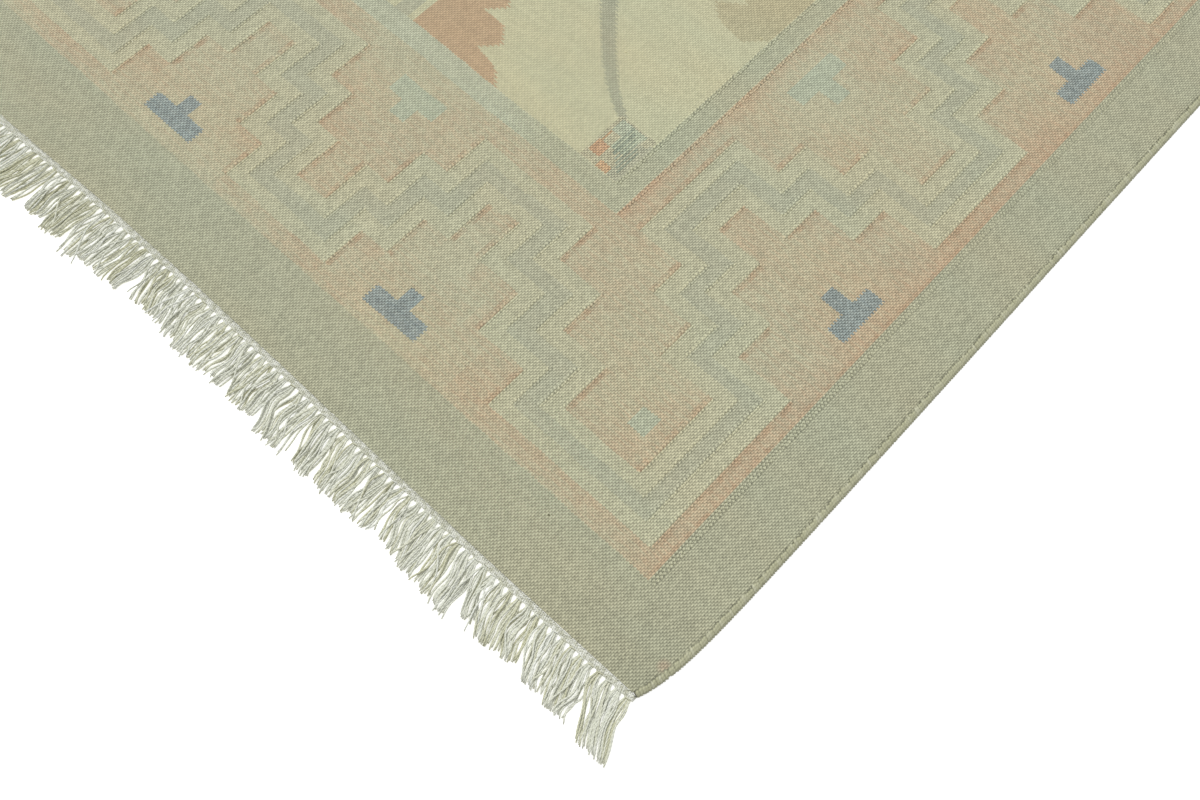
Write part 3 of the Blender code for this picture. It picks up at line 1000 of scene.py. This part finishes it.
for word, side in (("right", 1), ("left", -1)):
    paths = np.array(selvedge_turns()) * (side, side, 1)
    spreads = np.array([[rng.uniform(0.92, 1.06)] * len(WRAP_PATH) for _ in paths])
    wraps = tube_mesh("overcast_" + word, paths, spreads * WRAP_ACROSS, spreads * WRAP_THICK, 5)
    wraps.data.materials.append(overcast_wool)
    cord_y = np.linspace(near_end(WIDTH / 2), -near_end(-WIDTH / 2), 160)
    cord_x = [right_side(y) - SELVEDGE_WIDTH / 2 for y in cord_y]
    cord_path = [(side * x, side * y, CORD_MIDDLE) for x, y in zip(cord_x, cord_y)]
    half = np.full((1, len(cord_path)), CORD_HALF_WIDTH)
    cord = tube_mesh("edge_cord_" + word, [cord_path], half, half * CORD_FLATNESS, 8)
    cord.data.materials.append(overcast_wool)
    for thing in (wraps, cord):
        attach(thing, "root")
        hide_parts("selvedge_" + word)


# The end strips: white cotton, twined in rows across the warps to hold the last wefts. Each row
# shows as slanting beads, and the next row slants the other way.
STRIP_WIDTH = 0.007
STRIP_ROWS = 4
STRIP_BEAD = (0.0017, 0.0010, 0.0010)
STRIP_BEAD_LEVEL = 0.0019
STRIP_SLANT = 35.0
STRIP_CORE_LEVEL = 0.0011
STRIP_CORE_HALF = (0.46 * STRIP_WIDTH, 0.0010)


def round_bead(sides=5):
    """A small closed bead of unit half sizes, long in X: its corners and faces."""
    corners = [(-1.0, 0.0, 0.0)]
    for x, size in ((-0.62, 0.78), (0.0, 1.0), (0.62, 0.78)):
        for i in range(sides):
            angle = 2 * math.pi * i / sides
            corners.append((x, size * math.cos(angle), size * math.sin(angle)))
    corners.append((1.0, 0.0, 0.0))
    faces = []
    for i in range(sides):
        j = (i + 1) % sides
        faces.append((0, 1 + j, 1 + i))
        for ring in (0, 1):
            low, high = 1 + ring * sides, 1 + (ring + 1) * sides
            faces.append((low + i, low + j, high + j, high + i))
        faces.append((1 + 2 * sides + i, 1 + 2 * sides + j, len(corners) - 1))
    return corners, faces


strip_cotton, tree, shader, place = new_finish("strip_cotton", 0.85, 0.10)
soft = noise(tree, place, 260.0)
hairs = noise(tree, place, 1400.0)
mixed = blend(tree, spread(soft, 0.35, 0.65), dyed(196, 197, 178), dyed(230, 231, 222))
toned = scaled(tree, mixed, spread(hairs, 0.2, 0.8, 0.90, 1.08))
finish_surface(tree, shader, toned, hairs, 0.0004, 0.6)

half_width = right_side(-LENGTH / 2)
for word, side in (("near", 1), ("far", -1)):
    frames = []
    count = int(2 * half_width / WARP)
    for row in range(STRIP_ROWS):
        slant = STRIP_SLANT if row % 2 == 0 else -STRIP_SLANT
        stray = 0.0011 if row == 0 else 0.0004
        for i in range(count):
            x = -half_width + (i + 0.5 + 0.25 * row) * 2 * half_width / (count + 1)
            down = CLEARANCE + STRIP_WIDTH * (row + 0.5) / STRIP_ROWS
            y = near_end(x) - down + rng.uniform(-stray, stray)
            spot = (side * x, side * y, STRIP_BEAD_LEVEL + rng.uniform(-0.0002, 0.0003))
            turn = math.radians(slant + rng.uniform(-14, 14))
            size = rng.uniform(0.85, 1.12)
            frames.append(bead_frame(spot, turn, [s * size for s in STRIP_BEAD]))
    strip = joined_copies("end_twining_" + word, *round_bead(), frames)
    strip.data.materials.append(strip_cotton)
    core_x = np.linspace(-half_width, half_width, 60)
    core_y = [near_end(x) - CLEARANCE - STRIP_WIDTH / 2 for x in core_x]
    core_path = [(side * x, side * y, STRIP_CORE_LEVEL) for x, y in zip(core_x, core_y)]
    half_wide, half_high = (np.full((1, len(core_x)), half) for half in STRIP_CORE_HALF)
    core = tube_mesh("end_core_" + word, [core_path], half_wide, half_high, 8)
    core.data.materials.append(strip_cotton)
    for thing in (strip, core):
        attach(thing, "root")
        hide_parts("fringe_" + word)


# The fringes: at each end the cotton warps run out of the twining, eight or nine to a lock. Each lock
# is tied close under the strip, fans out and lies loose on the floor, its strands drawn together in
# two wisps and the locks in bunches.
KNOTS = 140

# Bunches of locks from the right corner leftwards: knots in the bunch, how far its tips lean to the
# right, how far they reach from the strip, share of the spread drawn together.
BUNCHES = [
    (4, 0.026, 0.064, 0.20),
    (3, 0.017, 0.061, 0.30),
    (3, 0.019, 0.057, 0.30),
    (2, 0.015, 0.053, 0.25),
    (3, 0.016, 0.059, 0.35),
    (2, 0.020, 0.051, 0.30),
    (2, 0.014, 0.067, 0.35),
    (2, 0.008, 0.062, 0.30),
    (3, 0.010, 0.060, 0.33),
    (2, 0.013, 0.055, 0.30),
    (2, 0.002, 0.057, 0.30),
    (2, 0.000, 0.060, 0.30),
    (4, 0.010, 0.060, 0.33),
    (3, 0.015, 0.062, 0.33),
    (4, 0.005, 0.063, 0.33),
    (4, 0.003, 0.058, 0.10),
    (2, 0.000, 0.057, 0.30),
    (3, 0.001, 0.058, 0.25),
    (2, 0.002, 0.060, 0.35),
    (3, 0.007, 0.055, 0.25),
    (4, 0.013, 0.051, 0.20),
    (2, -0.002, 0.057, 0.35),
    (4, -0.003, 0.057, 0.20),
    (2, 0.002, 0.066, 0.33),
    (3, -0.002, 0.060, 0.33),
    (3, 0.000, 0.056, 0.30),
    (2, -0.008, 0.060, 0.30),
    (4, -0.006, 0.064, 0.33),
    (4, 0.006, 0.062, 0.33),
    (3, 0.014, 0.060, 0.30),
]
STRAND_HALF = 0.00108
STRAND_RINGS = 12
STRAND_SIDES = 5
STRAND_TUCK = 0.0012
STRAY_CHANCE = 0.11
STRAY_LEAN = 0.0120
STRAND_LEAN = 0.0016
STRAY_LIFT = 0.0030
STRAND_LIFTS = (0.0, 0.0, 0.0009, 0.0017, 0.0024)
TIE_DOWN = 0.0016
TIE_HALF_WIDTH = 0.0037
TIE_HALF_HEIGHT = 0.0012
TIE_LEVEL = 0.0020
TIE_YARN = 0.0007


def lock_plan():
    """Each lock's root x, lean and reach, from the right corner leftwards."""
    pitch = 2 * half_width / KNOTS
    plan = []
    row = 0
    while len(plan) < KNOTS:
        knots, lean, reach, gather = BUNCHES[row % len(BUNCHES)]
        for i in range(knots):
            if len(plan) == KNOTS:
                break
            from_middle = (i - (knots - 1) / 2) * pitch
            root = half_width - pitch * (len(plan) + 0.5)
            uneven = 0.0025 * math.sin(2.4 * len(plan))
            plan.append((root, lean + gather * from_middle, reach + uneven))
        row += 1
    return plan


def strand_start(root):
    """Where the strands of a lock come out of the strip."""
    return near_end(root) - CLEARANCE - STRIP_WIDTH + STRAND_TUCK


def strand_path(root, lean, reach, place, lock):
    """One strand of a lock: through the tie, out into the lock's fan, and on to its tip."""
    start = strand_start(root)
    from_middle = place - (lock["count"] - 1) / 2
    stray = rng.random() < STRAY_CHANCE
    own_lean = lean + rng.gauss(0.0, STRAY_LEAN if stray else STRAND_LEAN)
    own_reach = reach * rng.uniform(0.93, 1.02)
    first = place < lock["split"]
    wisp = (lock["split"] - 1) / 2 if first else (lock["split"] + lock["count"] - 1) / 2
    middle = (wisp - (lock["count"] - 1) / 2) * lock["parting"]
    within = (place - wisp) * rng.uniform(0.0011, 0.0016)
    widths = (from_middle * 0.0007, from_middle * 0.0008, from_middle * 0.0017, middle + within,
              middle * lock["closing"] + within * 0.85)
    layer = STRAY_LIFT if stray else rng.choice(STRAND_LIFTS)
    sway = rng.uniform(0.0004, 0.0021)
    phase = rng.uniform(0, 2 * math.pi)
    waves = rng.uniform(0.7, 1.7)
    path = []
    for n in range(STRAND_RINGS):
        share = n / (STRAND_RINGS - 1)
        bend = share ** 1.5
        apart = float(np.interp(share, (0.0, 0.07, 0.24, 0.60, 1.0), widths))
        wave = sway * min(3 * share, 1.0) * math.sin(phase + waves * 2 * math.pi * share)
        swing = lock["swing"] * math.sin(math.pi * share) * math.sin(lock["phase"] + 5.0 * share)
        lift = layer * math.sqrt(max(math.sin(math.pi * share), 0.0))
        rise = np.interp(share, (0.0, 0.08, 0.2, 1.0), (0.0012, 0.0016, STRAND_HALF, STRAND_HALF))
        x = root + own_lean * bend + apart + wave + swing
        path.append((x, start - own_reach * share, float(rise) + lift))
    return path


COTTON_TONES = [
    dyed(202, 202, 174), dyed(214, 215, 194), dyed(221, 223, 209), dyed(216, 218, 202),
    dyed(226, 228, 217), dyed(230, 232, 222),
]
# Painted shade: the strands darken to 0.90 towards the floor, under and between one another.
cotton = yarn_finish("white_cotton", COTTON_TONES, 0.0045, 0.80, 0.90, 0.0020)
plan = lock_plan()
for word, side in (("near", 1), ("far", -1)):
    strands = []
    tones = []
    rings = []
    for root, lean, reach in plan:
        count = rng.choice((8, 8, 9) if root > 0.4 * half_width else (8, 9, 9))
        lock = {
            "count": count,
            "split": rng.choice((3, 4, 5)),
            "parting": rng.uniform(0.0014, 0.0021),
            "closing": rng.uniform(0.6, 1.05),
            "swing": 0.0024 * math.sin(37 * root + 1.0) + rng.gauss(0.0, 0.0013),
            "phase": rng.uniform(1.1, 2.9),
        }
        own_tone = 0.27 + 0.25 * root / half_width + rng.uniform(-0.25, 0.25)
        for place in range(count):
            strands.append(strand_path(root, lean, reach, place, lock))
            tones.append(min(max(own_tone + rng.gauss(0.0, 0.22), 0.0), 1.0))
        ring = []
        tilt = rng.uniform(-0.0012, 0.0012)
        for angle in np.linspace(0.0, 2 * math.pi, 9):
            x = root + TIE_HALF_WIDTH * math.cos(angle)
            y = strand_start(root) - TIE_DOWN + tilt * math.cos(angle)
            ring.append((x, y, TIE_LEVEL + TIE_HALF_HEIGHT * math.sin(angle)))
        rings.append(ring)
    strands = np.array(strands) * (side, side, 1)
    half = np.full(strands.shape[:2], STRAND_HALF)
    half[:, -1] *= 0.7
    fringe = tube_mesh("fringe_strands_" + word, strands, half, half, STRAND_SIDES, np.array(tones))
    rings = np.array(rings) * (side, side, 1)
    half = np.full(rings.shape[:2], TIE_YARN)
    ties = tube_mesh("fringe_ties_" + word, rings, half, half, STRAND_SIDES)
    for thing in (fringe, ties):
        thing.data.materials.append(cotton)
        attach(thing, "root")
        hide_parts("fringe_" + word)
